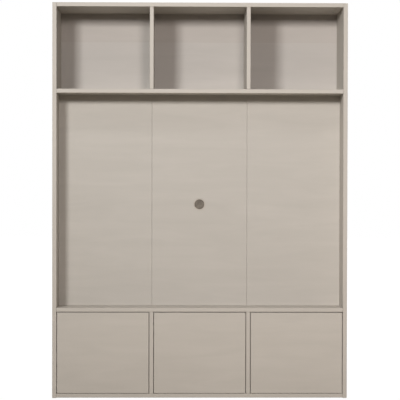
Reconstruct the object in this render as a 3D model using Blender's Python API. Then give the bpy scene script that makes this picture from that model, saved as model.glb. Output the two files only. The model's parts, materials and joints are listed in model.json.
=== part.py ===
"""Tall cabinet for a television: three open bays, a shallow niche and three doors.

Units are metres, +Z is up, the front faces -Y and the floor is z = 0. Run it with
blender --background --python part.py, or from Blender's text editor.
"""

import math

import bmesh
import bpy
from mathutils import Matrix, Vector

# Overall size
WIDTH = 1.600
DEPTH = 0.380
HEIGHT = 2.145

# Boards of the carcass
SIDE_THICKNESS = 0.023
BOARD_THICKNESS = 0.022
UPPER_DIVIDER_THICKNESS = 0.021
LOWER_DIVIDER_THICKNESS = 0.022
UPPER_BAY_HEIGHT = 0.445
LOWER_BAY_HEIGHT = 0.444
BOTTOM_BOARD_RISE = 0.004
BOARD_ROUND = 0.0012

# Clearances
FIT_GAP = 0.0003
CUT_OVERRUN = 0.002
WELD_DISTANCE = 0.000001

# Thin backs, which stand in grooves
BACK_THICKNESS = 0.004
BACK_INSET = 0.010
GROOVE_DEPTH = 0.006

# Panels at the back of the niche, with the posts and cleats that carry them
NICHE_DEPTH = 0.180
NICHE_PANEL_THICKNESS = 0.018
NICHE_SEAM_GAP = 0.0007
NICHE_PANEL_ROUND = 0.0006
POST_WIDTH = 0.060
POST_THICKNESS = 0.022
CLEAT_WIDTH = 0.022
PANEL_SCREW_HEIGHT_SHARES = (0.12, 0.88)
CLEAT_SCREW_HEIGHT_SHARES = (0.22, 0.78)

# Cable ways: an outlet behind the screen and slots down to the lower bays
OUTLET_RADIUS = 0.030
OUTLET_HEIGHT = 0.560
OUTLET_SIDES = 20
GROMMET_WALL = 0.0025
GROMMET_LIP = 0.004
GROMMET_LIP_THICKNESS = 0.002
GROMMET_LENGTH = 0.016
SLOT_LENGTH = 0.120
SLOT_WIDTH = 0.044
SLOT_END_STEPS = 4

# Doors, set in between the boards
DOOR_THICKNESS = 0.020
DOOR_SIDE_GAP = 0.003
DOOR_TOP_GAP = 0.0035
DOOR_BOTTOM_GAP = 0.002
DOOR_ROUND = 0.0015
DOOR_OPENING = math.radians(95)

# Wooden dowels, glued into the end of one board
DOWEL_RADIUS = 0.004
DOWEL_LENGTH = 0.024
DOWEL_SIDES = 6
DOWEL_DEPTH_SHARES = (0.14, 0.80)

# Seats of the cam fittings: a bore in the end of each level board and a pocket under it
CAM_RADIUS = 0.0075
CAM_DEPTH = 0.015
CAM_SETBACK = 0.034
CAM_SIDES = 10
CAM_DEPTH_SHARES = (0.25, 0.66)
BOLT_BORE_RADIUS = 0.0038
BOLT_HOLE_RADIUS = 0.0025
BOLT_HOLE_DEPTH = 0.0115
BOLT_SIDES = 6

# Pan head screws, each one solid with the fitting that it holds
SCREW_RADIUS = 0.0018
SCREW_HEAD_RADIUS = 0.0036
SCREW_HEAD_HEIGHT = 0.0016
SCREW_SIDES = 6
PANEL_SCREW_LENGTH = 0.036
CLEAT_SCREW_LENGTH = 0.038
PLATE_SCREW_LENGTH = 0.016
CUP_SCREW_LENGTH = 0.013
LATCH_SCREW_LENGTH = 0.014

# Door hinges, in the plane seen from above: across the bay from the carcass face that
# carries the hinge, and back from the front of the cabinet
HINGE_END_DISTANCE = 0.080
AXIS_ACROSS = 0.015
AXIS_BACK = 0.005
CUP_RADIUS = 0.0172
CUP_WALL = 0.0009
CUP_FLOOR = 0.0008
CUP_DEPTH = 0.013
CUP_EDGE_DISTANCE = 0.0035
CUP_SIDES = 24
WING_HALF_WIDTH = 0.008
WING_HALF_HEIGHT = 0.027
WING_THICKNESS = 0.0012
RIM_GAP_HALF_HEIGHT = 0.010
CUP_SCREW_DROP = 0.0222
PIN_RADIUS = 0.0012
PIN_SIDES = 8
CUP_PIN_FROM_AXIS = 0.006
ARM_PIN_FROM_AXIS = 0.026
ARM_PIN_BEARING = math.radians(38)
LINK_TURN_RATIO = -1.237
LINK_HALF_HEIGHT = 0.0045
LINK_BAR_HALF_WIDTH = 0.001
LINK_BOW = 0.0054
LINK_EYE_RADIUS = 0.0023
LINK_EYE_SIDES = 12
LINK_SLOT_WALL = 0.0011
LINK_BAR_STEPS = 6
LINK_END_STEPS = 4
PATH_STEPS = 38
ARM_HALF_HEIGHT = 0.0064
ARM_NOSE_RADIUS = 0.0032
ARM_NOSE_LENGTH = 0.008
ARM_NOSE_STEPS = 6
ARM_EAR_GAP = 0.0004
ARM_EAR_DEPTH = 0.0068
ARM_RISE = 0.0065
ARM_THICKNESS = 0.006
ARM_LENGTH = 0.086
ARM_OUTER_BEND_SHARES = (0.86, 0.42)
ARM_OUTER_FOOT_SHARE = 0.49
ARM_INNER_FOOT_SHARE = 0.43
ARM_INNER_BEND_SHARES = (0.46, 0.35)
ARM_THROAT_SHARES = (0.74, 0.32)
PLATE_BACK = 0.064
PLATE_LENGTH = 0.036
PLATE_HALF_HEIGHT = 0.008
PLATE_WING_LENGTH = 0.012
PLATE_WING_HALF_HEIGHT = 0.023
PLATE_WING_THICKNESS = 0.0025
PLATE_SCREW_DROP = 0.016

# Push latches under the niche shelf, near the free edge of each door
LATCH_FROM_FREE_EDGE = 0.060
LATCH_DROP = 0.014
LATCH_LENGTH = 0.072
LATCH_BARREL_RADIUS = 0.0065
LATCH_SIDES = 12
LATCH_WEB_WIDTH = 0.006
LATCH_PLATE_WIDTH = 0.030
LATCH_PLATE_THICKNESS = 0.002
LATCH_SCREW_ACROSS = 0.0108
PLUNGER_RADIUS = 0.004
PLUNGER_SHOW = 0.005
PLUNGER_LENGTH = 0.040
PLUNGER_TIP_CHAMFER = 0.001
PLUNGER_TRAVEL = 0.003
PLUNGER_SPRING_ROOM = 0.005
STRIKE_RADIUS = 0.007
STRIKE_DEPTH = 0.001

# Floor glides, nailed on
GLIDE_RADIUS = 0.009
SIDE_BOARD_RISE = 0.002
GLIDE_NAIL_RADIUS = 0.0012
GLIDE_NAIL_LENGTH = 0.014
GLIDE_SIDES = 16
GLIDE_DEPTH_SHARES = (0.12, 0.88)
FOOT_DEPTH_SHARE = 0.5

# Colours, as linear red, green and blue, with roughness and metallic values
LACQUER = ("lacquered_wood", (0.527, 0.479, 0.423), 0.55, 0.0)
BACK_LACQUER = ("lacquered_back", (0.510, 0.464, 0.411), 0.6, 0.0)
ZINC = ("zinc_plate", (0.560, 0.570, 0.580), 0.35, 1.0)
LATCH_PLASTIC = ("latch_plastic", (0.300, 0.300, 0.295), 0.5, 0.0)
GROMMET_PLASTIC = ("grommet_plastic", (0.450, 0.407, 0.356), 0.5, 0.0)
GLIDE_PLASTIC = ("glide_plastic", (0.060, 0.055, 0.050), 0.6, 0.0)

# Planes and places worked out from the sizes
FRONT = -DEPTH / 2
REAR = DEPTH / 2
SIDE_FACE = WIDTH / 2 - SIDE_THICKNESS
BACK_FACE = REAR - BACK_INSET - BACK_THICKNESS
BOTTOM_LEVEL = BOTTOM_BOARD_RISE
LOWER_FLOOR = BOTTOM_LEVEL + BOARD_THICKNESS
NICHE_SHELF_LEVEL = LOWER_FLOOR + LOWER_BAY_HEIGHT
NICHE_LOW = NICHE_SHELF_LEVEL + BOARD_THICKNESS
TOP_LEVEL = HEIGHT - BOARD_THICKNESS
UPPER_FLOOR = TOP_LEVEL - UPPER_BAY_HEIGHT
NICHE_HIGH = UPPER_FLOOR - BOARD_THICKNESS
NICHE_FACE = FRONT + NICHE_DEPTH
NICHE_BACK = NICHE_FACE + NICHE_PANEL_THICKNESS
POST_FACE = NICHE_BACK + FIT_GAP
POST_BACK = POST_FACE + POST_THICKNESS
LOWER_BAY_WIDTH = (2 * SIDE_FACE - 2 * LOWER_DIVIDER_THICKNESS) / 3
UPPER_DIVIDER_X = ((2 * SIDE_FACE - 2 * UPPER_DIVIDER_THICKNESS) / 3 + UPPER_DIVIDER_THICKNESS) / 2
LOWER_DIVIDER_X = (LOWER_BAY_WIDTH + LOWER_DIVIDER_THICKNESS) / 2
DOOR_LOW = LOWER_FLOOR + DOOR_BOTTOM_GAP
DOOR_HIGH = NICHE_SHELF_LEVEL - DOOR_TOP_GAP
HINGE_LEVELS = {"lower": DOOR_LOW + HINGE_END_DISTANCE, "upper": DOOR_HIGH - HINGE_END_DISTANCE}
CUP_ACROSS = DOOR_SIDE_GAP + CUP_EDGE_DISTANCE + FIT_GAP + CUP_RADIUS
CUP_BACK = DOOR_THICKNESS - CUP_DEPTH
WING_BACK = DOOR_THICKNESS + FIT_GAP + WING_THICKNESS
CUP_PIN = (AXIS_ACROSS, AXIS_BACK + CUP_PIN_FROM_AXIS)
ARM_PIN = (
    AXIS_ACROSS + ARM_PIN_FROM_AXIS * math.cos(ARM_PIN_BEARING),
    AXIS_BACK + ARM_PIN_FROM_AXIS * math.sin(ARM_PIN_BEARING),
)
LATCH_BACK = DOOR_THICKNESS + FIT_GAP + PLUNGER_SHOW
LATCH_LEVEL = NICHE_SHELF_LEVEL - LATCH_DROP
LATCH_ACROSS = LOWER_BAY_WIDTH - LATCH_FROM_FREE_EDGE
BOARD_LEVELS = {
    "top_panel": TOP_LEVEL,
    "upper_shelf": NICHE_HIGH,
    "niche_shelf": NICHE_SHELF_LEVEL,
    "bottom_panel": BOTTOM_LEVEL,
}
SIDES = {"left": -1, "right": 1}
UP = Vector((0, 0, 1))
BACKWARD = Vector((0, 1, 0))


def clear_scene():
    for item in list(bpy.data.objects):
        bpy.data.objects.remove(item, do_unlink=True)


def material_of(finish):
    """One Principled material for each finish, made once."""
    name, colour, roughness, metallic = finish
    material = bpy.data.materials.get(name)
    if material:
        return material
    material = bpy.data.materials.new(name)
    material.use_nodes = True
    shader = material.node_tree.nodes["Principled BSDF"]
    shader.inputs["Base Color"].default_value = (*colour, 1)
    shader.inputs["Roughness"].default_value = roughness
    shader.inputs["Metallic"].default_value = metallic
    material.diffuse_color = (*colour, 1)
    return material


# Shapes: each of these gives a function that adds one closed body to a bmesh


def box(corner, opposite):
    low = Vector([min(pair) for pair in zip(corner, opposite)])
    high = Vector([max(pair) for pair in zip(corner, opposite)])
    place = Matrix.Translation((low + high) / 2) @ Matrix.Diagonal((*(high - low), 1))
    return lambda bm: bmesh.ops.create_cube(bm, size=1, matrix=place)


def turned(profile, base, direction, sides):
    """A body of (radius, distance) rings along the direction from the base, closed at both ends."""
    frame = Vector(direction).to_track_quat("Z", "X").to_matrix().to_4x4()
    frame.translation = Vector(base)
    points = [(0, profile[0][1]), *profile, (0, profile[-1][1])]

    def add(bm):
        before = set(bm.verts)
        line = [bm.verts.new((radius, 0, along)) for radius, along in points]
        edges = [bm.edges.new(pair) for pair in zip(line, line[1:])]
        bmesh.ops.spin(bm, geom=line + edges, cent=(0, 0, 0), axis=UP, angle=math.tau, steps=sides)
        made = [vert for vert in bm.verts if vert not in before]
        bmesh.ops.remove_doubles(bm, verts=made, dist=WELD_DISTANCE)
        made = [vert for vert in bm.verts if vert not in before]
        bmesh.ops.transform(bm, matrix=frame, verts=made)

    return add


def rod(base, direction, radius, length, sides):
    return turned([(radius, 0), (radius, length)], base, direction, sides)


def prism(outline, low, high, place):
    """A flat outline drawn in two sizes and pulled from low to high along the third."""

    def add(bm):
        face = bm.faces.new([bm.verts.new(place(a, b, low)) for a, b in outline])
        pulled = bmesh.ops.extrude_face_region(bm, geom=[face])
        moved = [item for item in pulled["geom"] if isinstance(item, bmesh.types.BMVert)]
        bmesh.ops.translate(bm, vec=place(0, 0, high) - place(0, 0, low), verts=moved)

    return add


def arc(centre, radius, start, end, steps):
    angles = [start + (end - start) * i / steps for i in range(steps + 1)]
    return [(centre[0] + radius * math.cos(a), centre[1] + radius * math.sin(a)) for a in angles]


def circle(centre, radius, sides):
    return arc(centre, radius, 0, math.tau, sides)[:-1]


def stadium(start, end, radius, steps):
    """The outline of a slot along the first size, with half a circle round each end."""
    quarter = math.pi / 2
    return arc(end, radius, -quarter, quarter, steps) + arc(start, radius, quarter, 3 * quarter, steps)


def screw(seat, direction, length):
    """A screw whose head stands on the seat and whose shank runs on in the direction."""
    profile = [
        (SCREW_HEAD_RADIUS, -SCREW_HEAD_HEIGHT),
        (SCREW_HEAD_RADIUS, FIT_GAP),
        (SCREW_RADIUS, FIT_GAP),
        (SCREW_RADIUS, length),
    ]
    return turned(profile, seat, direction, SCREW_SIDES)


def screw_hole(seat, direction, length):
    return rod(seat, direction, SCREW_RADIUS + FIT_GAP, length + FIT_GAP, SCREW_SIDES)


def dowel(middle, direction):
    start = Vector(middle) - Vector(direction) * DOWEL_LENGTH / 2
    return rod(start, direction, DOWEL_RADIUS, DOWEL_LENGTH, DOWEL_SIDES)


def dowel_hole(middle, direction):
    half = DOWEL_LENGTH / 2 + FIT_GAP
    start = Vector(middle) - Vector(direction) * half
    return rod(start, direction, DOWEL_RADIUS + FIT_GAP, 2 * half, DOWEL_SIDES)


# Objects


def mesh_of(name, shapes, origin):
    bm = bmesh.new()
    for shape in shapes:
        shape(bm)
    bmesh.ops.recalc_face_normals(bm, faces=bm.faces)
    bmesh.ops.translate(bm, vec=-origin, verts=bm.verts)
    mesh = bpy.data.meshes.new(name)
    bm.to_mesh(mesh)
    bm.free()
    return mesh


def place_object(name, shapes, parent=None):
    """A mesh object whose origin is its parent's, or else the world's."""
    origin = Vector(parent.location) if parent else Vector((0, 0, 0))
    item = bpy.data.objects.new(name, mesh_of(name, shapes, origin))
    item.parent = parent
    bpy.context.scene.collection.objects.link(item)
    return item


def piece(name, body, finish, changes=(), parent=None, rounding=0, smooth=False):
    """One named solid: a body, then changes as (operation, shapes) in their order."""
    item = place_object(name, [body], parent)
    item.data.materials.append(material_of(finish))
    if rounding:
        bevel = item.modifiers.new("rounded_edges", "BEVEL")
        bevel.width = rounding
        bevel.segments = 1
        bevel.limit_method = "ANGLE"
    for number, (operation, shapes) in enumerate(changes):
        if not shapes:
            continue
        helper = place_object(f"{name}_shape_{number}", shapes)
        helper.hide_render = True
        helper.display_type = "WIRE"
        change = item.modifiers.new(operation.lower(), "BOOLEAN")
        change.operation = operation
        change.solver = "EXACT"
        change.object = helper
    if smooth:
        item.data.shade_smooth()
        item.data.set_sharp_from_angle(angle=math.radians(35))
    return item


def axis_empty(name, place):
    empty = bpy.data.objects.new(name, None)
    empty.empty_display_size = BOARD_THICKNESS
    empty.location = place
    bpy.context.scene.collection.objects.link(empty)
    return empty


# Joints of the carcass


def depth_at(share):
    return FRONT + DEPTH * share


def end_dowels(board, side):
    """Middle and direction of each dowel between a level board and a side board."""
    z = BOARD_LEVELS[board] + BOARD_THICKNESS / 2
    return [(Vector((side * SIDE_FACE, depth_at(s), z)), Vector((side, 0, 0))) for s in DOWEL_DEPTH_SHARES]


def divider_dowels(x, level):
    return [(Vector((x, depth_at(share), level)), UP) for share in DOWEL_DEPTH_SHARES]


def post_dowel(side, level):
    return Vector((side * UPPER_DIVIDER_X, POST_FACE + POST_THICKNESS / 2, level)), UP


def upright_dowels(board):
    """Dowels that enter a level board from the uprights above and below it."""
    lower = [line for side in SIDES.values() for line in divider_dowels(side * LOWER_DIVIDER_X, LOWER_FLOOR)]
    lower_heads = [
        line for side in SIDES.values() for line in divider_dowels(side * LOWER_DIVIDER_X, NICHE_SHELF_LEVEL)
    ]
    upper = [line for side in SIDES.values() for line in divider_dowels(side * UPPER_DIVIDER_X, UPPER_FLOOR)]
    upper_heads = [
        line for side in SIDES.values() for line in divider_dowels(side * UPPER_DIVIDER_X, TOP_LEVEL)
    ]
    return {
        "bottom_panel": lower,
        "niche_shelf": lower_heads + [post_dowel(side, NICHE_LOW) for side in SIDES.values()],
        "upper_shelf": upper + [post_dowel(side, NICHE_HIGH) for side in SIDES.values()],
        "top_panel": upper_heads,
    }[board]


def cam_places(board, side):
    x = side * (SIDE_FACE - CAM_SETBACK)
    return [Vector((x, depth_at(share), BOARD_LEVELS[board])) for share in CAM_DEPTH_SHARES]


def cam_pockets(board):
    return [
        rod(place - UP * CUT_OVERRUN, UP, CAM_RADIUS, CAM_DEPTH + CUT_OVERRUN, CAM_SIDES)
        for side in SIDES.values()
        for place in cam_places(board, side)
    ]


def bolt_line(place, side):
    """Where a cam bolt leaves the side board, and the way it points."""
    start = Vector((side * SIDE_FACE, place.y, place.z + BOARD_THICKNESS / 2))
    return start, Vector((-side, 0, 0))


def bolt_bores(board):
    bores = []
    for side in SIDES.values():
        for place in cam_places(board, side):
            start, inward = bolt_line(place, side)
            length = CUT_OVERRUN + CAM_SETBACK
            bores.append(rod(start - inward * CUT_OVERRUN, inward, BOLT_BORE_RADIUS, length, BOLT_SIDES))
    return bores


def bolt_holes(side):
    """Pilot holes in a side board for the threads of the cam bolts."""
    holes = []
    for board in BOARD_LEVELS:
        for place in cam_places(board, side):
            start, inward = bolt_line(place, side)
            length = CUT_OVERRUN + BOLT_HOLE_DEPTH
            holes.append(rod(start + inward * CUT_OVERRUN, -inward, BOLT_HOLE_RADIUS, length, BOLT_SIDES))
    return holes


def side_groove(side, low, high):
    """A back's groove in a side board, past the grooves of the boards below and above."""
    return box(
        (side * (SIDE_FACE - CUT_OVERRUN), BACK_FACE - FIT_GAP, low - GROOVE_DEPTH),
        (side * (SIDE_FACE + GROOVE_DEPTH), BACK_FACE + BACK_THICKNESS + FIT_GAP, high + GROOVE_DEPTH),
    )


def level_groove(face, inward):
    """A back's groove along a level board, cut from its face upwards (1) or downwards (-1)."""
    end = SIDE_FACE + CUT_OVERRUN
    return box(
        (-end, BACK_FACE - FIT_GAP, face - inward * CUT_OVERRUN),
        (end, BACK_FACE + BACK_THICKNESS + FIT_GAP, face + inward * GROOVE_DEPTH),
    )


# Doors and their fittings


class Door:
    """Where one door hangs: hand is 1 when it reaches towards +X from its hinges, else -1."""

    def __init__(self, name, face_x, hand, carrier):
        self.name = name
        self.face_x = face_x
        self.hand = hand
        self.carrier = carrier
        self.outward = Vector((-hand, 0, 0))

    def at(self, across, back, z):
        return Vector((self.face_x + self.hand * across, FRONT + back, z))

    def level(self, z):
        """A place function for outlines drawn across and back, pulled upwards from z."""
        return lambda across, back, up: self.at(across, back, z + up)

    def box(self, corner, opposite):
        return box(self.at(*corner), self.at(*opposite))


DOORS = [
    Door("left_door", -SIDE_FACE, 1, "left_side_panel"),
    Door("center_door", -LOWER_BAY_WIDTH / 2, 1, "lower_divider_left"),
    Door("right_door", SIDE_FACE, -1, "right_side_panel"),
]


def cup_screw_lines(door, z):
    return [(door.at(CUP_ACROSS, WING_BACK, z + sign * CUP_SCREW_DROP), -BACKWARD) for sign in (-1, 1)]


def plate_screw_lines(door, z):
    across = FIT_GAP + PLATE_WING_THICKNESS
    return [(door.at(across, PLATE_BACK, z + sign * PLATE_SCREW_DROP), door.outward) for sign in (-1, 1)]


def latch_screw_lines(door):
    z = NICHE_SHELF_LEVEL - FIT_GAP - LATCH_PLATE_THICKNESS
    back = LATCH_BACK + LATCH_LENGTH / 2
    return [(door.at(LATCH_ACROSS + sign * LATCH_SCREW_ACROSS, back, z), UP) for sign in (-1, 1)]


def hinge_holes(carrier):
    """Screw holes of the hinge plates on one upright of the carcass."""
    return [
        screw_hole(*line, PLATE_SCREW_LENGTH)
        for door in DOORS
        if door.carrier == carrier
        for z in HINGE_LEVELS.values()
        for line in plate_screw_lines(door, z)
    ]


def build_door(door, parent):
    free_edge = LOWER_BAY_WIDTH - DOOR_SIDE_GAP
    leaf = door.box((DOOR_SIDE_GAP, 0, DOOR_LOW), (free_edge, DOOR_THICKNESS, DOOR_HIGH))
    seat_depth = CUP_DEPTH + FIT_GAP
    cup_seats = [
        rod(
            door.at(CUP_ACROSS, DOOR_THICKNESS - seat_depth, z),
            BACKWARD,
            CUP_RADIUS + FIT_GAP,
            seat_depth + CUT_OVERRUN,
            CUP_SIDES,
        )
        for z in HINGE_LEVELS.values()
    ]
    strike_seat = rod(
        door.at(LATCH_ACROSS, DOOR_THICKNESS - STRIKE_DEPTH, LATCH_LEVEL),
        BACKWARD,
        STRIKE_RADIUS,
        STRIKE_DEPTH + CUT_OVERRUN,
        LATCH_SIDES,
    )
    holes = [
        screw_hole(*line, CUP_SCREW_LENGTH)
        for z in HINGE_LEVELS.values()
        for line in cup_screw_lines(door, z)
    ]
    changes = [("DIFFERENCE", cup_seats + [strike_seat]), ("DIFFERENCE", holes)]
    piece(door.name, leaf, LACQUER, changes, parent, rounding=DOOR_ROUND)


def build_cup(door, name, z, parent):
    """A hinge cup let into the back of the door, with its wings, its pin and its two screws."""
    rim = WING_BACK - WING_THICKNESS / 2
    shell = rod(door.at(CUP_ACROSS, CUP_BACK, z), BACKWARD, CUP_RADIUS, rim - CUP_BACK, CUP_SIDES)
    reach = CUP_RADIUS + CUT_OVERRUN
    rim_gap = door.box(
        (CUP_ACROSS - reach, DOOR_THICKNESS, z - RIM_GAP_HALF_HEIGHT),
        (CUP_ACROSS + reach, WING_BACK, z + RIM_GAP_HALF_HEIGHT),
    )
    wings = [
        door.box(
            (CUP_ACROSS - WING_HALF_WIDTH, DOOR_THICKNESS + FIT_GAP, z + sign * RIM_GAP_HALF_HEIGHT),
            (CUP_ACROSS + WING_HALF_WIDTH, WING_BACK, z + sign * WING_HALF_HEIGHT),
        )
        for sign in (-1, 1)
    ]
    hollow = rod(
        door.at(CUP_ACROSS, CUP_BACK + CUP_FLOOR, z),
        BACKWARD,
        CUP_RADIUS - CUP_WALL,
        WING_BACK - CUP_BACK,
        CUP_SIDES,
    )
    half_pin = math.sqrt((CUP_RADIUS - CUP_WALL / 2) ** 2 - (CUP_ACROSS - CUP_PIN[0]) ** 2)
    pin = rod(door.at(*CUP_PIN, z - half_pin), UP, PIN_RADIUS, 2 * half_pin, PIN_SIDES)
    screws = [screw(*line, CUP_SCREW_LENGTH) for line in cup_screw_lines(door, z)]
    changes = [("DIFFERENCE", [rim_gap]), ("UNION", wings), ("DIFFERENCE", [hollow])]
    changes += [("UNION", [pin]), ("UNION", screws)]
    piece(f"{door.name}_{name}_hinge_cup", shell, ZINC, changes, parent, smooth=True)


def arm_pin_path():
    """The arm's pin as the link sees it while the door opens, as (along, aside) of the link."""
    rest_heading = math.atan2(ARM_PIN[1] - CUP_PIN[1], ARM_PIN[0] - CUP_PIN[0])
    path = []
    for i in range(PATH_STEPS + 1):
        angle = DOOR_OPENING * i / PATH_STEPS
        across = ARM_PIN[0] - AXIS_ACROSS - CUP_PIN_FROM_AXIS * math.sin(angle)
        back = ARM_PIN[1] - AXIS_BACK - CUP_PIN_FROM_AXIS * math.cos(angle)
        heading = rest_heading - angle * (1 + LINK_TURN_RATIO)
        along = across * math.cos(heading) + back * math.sin(heading)
        aside = back * math.cos(heading) - across * math.sin(heading)
        path.append((along, aside))
    return path


def build_link(door, name, z, parent):
    """A bowed link that turns on the cup's pin. Its slotted end slides over the arm's pin."""
    path = arm_pin_path()
    near, far = min(along for along, _ in path), max(along for along, _ in path)
    low, high = min(aside for _, aside in path), max(aside for _, aside in path)
    play = (high - low) / 2
    slot_ends = ((near + play, (low + high) / 2), (far - play, (low + high) / 2))
    # The flats of a faceted end lie nearer than its corners, and they keep the clearance
    slot_radius = (PIN_RADIUS + FIT_GAP + play) / math.cos(math.pi / (2 * LINK_END_STEPS))
    hole_radius = (PIN_RADIUS + FIT_GAP) / math.cos(math.pi / PIN_SIDES)
    bar_end = near - PIN_RADIUS
    bow = [
        (bar_end * i / LINK_BAR_STEPS, -LINK_BOW * math.sin(math.pi * i / LINK_BAR_STEPS))
        for i in range(LINK_BAR_STEPS + 1)
    ]
    bar = [(along, aside - LINK_BAR_HALF_WIDTH) for along, aside in bow]
    bar += [(along, aside + LINK_BAR_HALF_WIDTH) for along, aside in reversed(bow)]
    heading = math.atan2(ARM_PIN[1] - CUP_PIN[1], ARM_PIN[0] - CUP_PIN[0])
    cos, sin = math.cos(heading), math.sin(heading)

    def pulled(outline, reach):
        points = [(CUP_PIN[0] + a * cos - b * sin, CUP_PIN[1] + a * sin + b * cos) for a, b in outline]
        return prism(points, -reach, reach, door.level(z))

    reach = LINK_HALF_HEIGHT
    overrun = LINK_HALF_HEIGHT + CUT_OVERRUN
    eye = pulled(circle((0, 0), LINK_EYE_RADIUS, LINK_EYE_SIDES), reach)
    head = pulled(stadium(*slot_ends, slot_radius + LINK_SLOT_WALL, LINK_END_STEPS), reach)
    pin_hole = pulled(circle((0, 0), hole_radius, PIN_SIDES), overrun)
    slot = pulled(stadium(*slot_ends, slot_radius, LINK_END_STEPS), overrun)
    changes = [("UNION", [eye]), ("UNION", [head]), ("DIFFERENCE", [pin_hole, slot])]
    piece(f"{door.name}_{name}_hinge_link", pulled(bar, reach), ZINC, changes, parent)


def build_arm(door, name, z):
    """A hinge arm on its mounting plate: a forked nose with a pin, and a bar running back."""
    across, back = ARM_PIN
    outer = ARM_RISE + ARM_THICKNESS
    outline = arc(ARM_PIN, ARM_NOSE_RADIUS, -math.pi, 0, ARM_NOSE_STEPS)
    outline += [
        (across + ARM_NOSE_RADIUS, back + ARM_NOSE_LENGTH),
        (ARM_OUTER_BEND_SHARES[0] * across, ARM_OUTER_BEND_SHARES[1] * ARM_LENGTH),
        (outer, ARM_OUTER_FOOT_SHARE * ARM_LENGTH),
        (outer, ARM_LENGTH),
        (ARM_RISE, ARM_LENGTH),
        (ARM_RISE, ARM_INNER_FOOT_SHARE * ARM_LENGTH),
        (ARM_INNER_BEND_SHARES[0] * across, ARM_INNER_BEND_SHARES[1] * ARM_LENGTH),
        (ARM_THROAT_SHARES[0] * across, ARM_THROAT_SHARES[1] * ARM_LENGTH),
    ]
    body = prism(outline, -ARM_HALF_HEIGHT, ARM_HALF_HEIGHT, door.level(z))
    fork = LINK_HALF_HEIGHT + ARM_EAR_GAP
    reach = ARM_NOSE_RADIUS + CUT_OVERRUN
    fork_gap = door.box(
        (across - 2 * reach, back - reach, z - fork), (across + reach, back + ARM_EAR_DEPTH, z + fork)
    )
    half_pin = (fork + ARM_HALF_HEIGHT) / 2
    pin = rod(door.at(*ARM_PIN, z - half_pin), UP, PIN_RADIUS, 2 * half_pin, PIN_SIDES)
    piece(f"{door.name}_{name}_hinge_arm", body, ZINC, [("DIFFERENCE", [fork_gap]), ("UNION", [pin])])


def build_plate(door, name, z):
    """A mounting plate on the carcass with its two screws."""
    near, far = PLATE_BACK - PLATE_LENGTH / 2, PLATE_BACK + PLATE_LENGTH / 2
    block = door.box((FIT_GAP, near, z - PLATE_HALF_HEIGHT), (ARM_RISE - FIT_GAP, far, z + PLATE_HALF_HEIGHT))
    wing_near, wing_far = PLATE_BACK - PLATE_WING_LENGTH / 2, PLATE_BACK + PLATE_WING_LENGTH / 2
    wings = door.box(
        (FIT_GAP, wing_near, z - PLATE_WING_HALF_HEIGHT),
        (FIT_GAP + PLATE_WING_THICKNESS, wing_far, z + PLATE_WING_HALF_HEIGHT),
    )
    screws = [screw(*line, PLATE_SCREW_LENGTH) for line in plate_screw_lines(door, z)]
    piece(f"{door.name}_{name}_hinge_plate", block, ZINC, [("UNION", [wings]), ("UNION", screws)])


def build_latch(door):
    """A push latch: its housing under the niche shelf, and the plunger that the door presses."""
    top = NICHE_SHELF_LEVEL - FIT_GAP
    end = LATCH_BACK + LATCH_LENGTH
    front = door.at(LATCH_ACROSS, LATCH_BACK, LATCH_LEVEL)
    barrel = rod(front, BACKWARD, LATCH_BARREL_RADIUS, LATCH_LENGTH, LATCH_SIDES)
    web = door.box(
        (LATCH_ACROSS - LATCH_WEB_WIDTH / 2, LATCH_BACK + FIT_GAP, LATCH_LEVEL),
        (LATCH_ACROSS + LATCH_WEB_WIDTH / 2, end - FIT_GAP, top - LATCH_PLATE_THICKNESS / 2),
    )
    plate = door.box(
        (LATCH_ACROSS - LATCH_PLATE_WIDTH / 2, LATCH_BACK, top - LATCH_PLATE_THICKNESS),
        (LATCH_ACROSS + LATCH_PLATE_WIDTH / 2, end, top),
    )
    inner_length = PLUNGER_LENGTH - PLUNGER_SHOW + PLUNGER_TRAVEL + PLUNGER_SPRING_ROOM
    bore = rod(
        front - BACKWARD * CUT_OVERRUN,
        BACKWARD,
        PLUNGER_RADIUS + FIT_GAP,
        CUT_OVERRUN + inner_length,
        LATCH_SIDES,
    )
    screws = [screw(*line, LATCH_SCREW_LENGTH) for line in latch_screw_lines(door)]
    changes = [("UNION", [web]), ("UNION", [plate]), ("DIFFERENCE", [bore]), ("UNION", screws)]
    piece(f"{door.name}_latch_housing", barrel, LATCH_PLASTIC, changes, smooth=True)

    tip = front - BACKWARD * PLUNGER_SHOW
    profile = [
        (PLUNGER_RADIUS - PLUNGER_TIP_CHAMFER, 0),
        (PLUNGER_RADIUS, PLUNGER_TIP_CHAMFER),
        (PLUNGER_RADIUS, PLUNGER_LENGTH),
    ]
    axis = axis_empty(f"{door.name}_plunger_axis", tip)
    plunger = turned(profile, tip, BACKWARD, LATCH_SIDES)
    piece(f"{door.name}_latch_plunger", plunger, LATCH_PLASTIC, parent=axis, smooth=True)


# Carcass


def glide_nail_hole(place, board_level):
    """A hole from the floor up, for the nail of a glide under the board at that level."""
    length = board_level + GLIDE_NAIL_LENGTH + FIT_GAP
    return rod(place, UP, GLIDE_NAIL_RADIUS + FIT_GAP, length, SCREW_SIDES)


def side_glide_places(side):
    x = side * (WIDTH / 2 - SIDE_THICKNESS / 2)
    return [Vector((x, depth_at(share), 0)) for share in GLIDE_DEPTH_SHARES]


def center_foot_place(side):
    return Vector((side * LOWER_DIVIDER_X, depth_at(FOOT_DEPTH_SHARE), 0))


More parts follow.
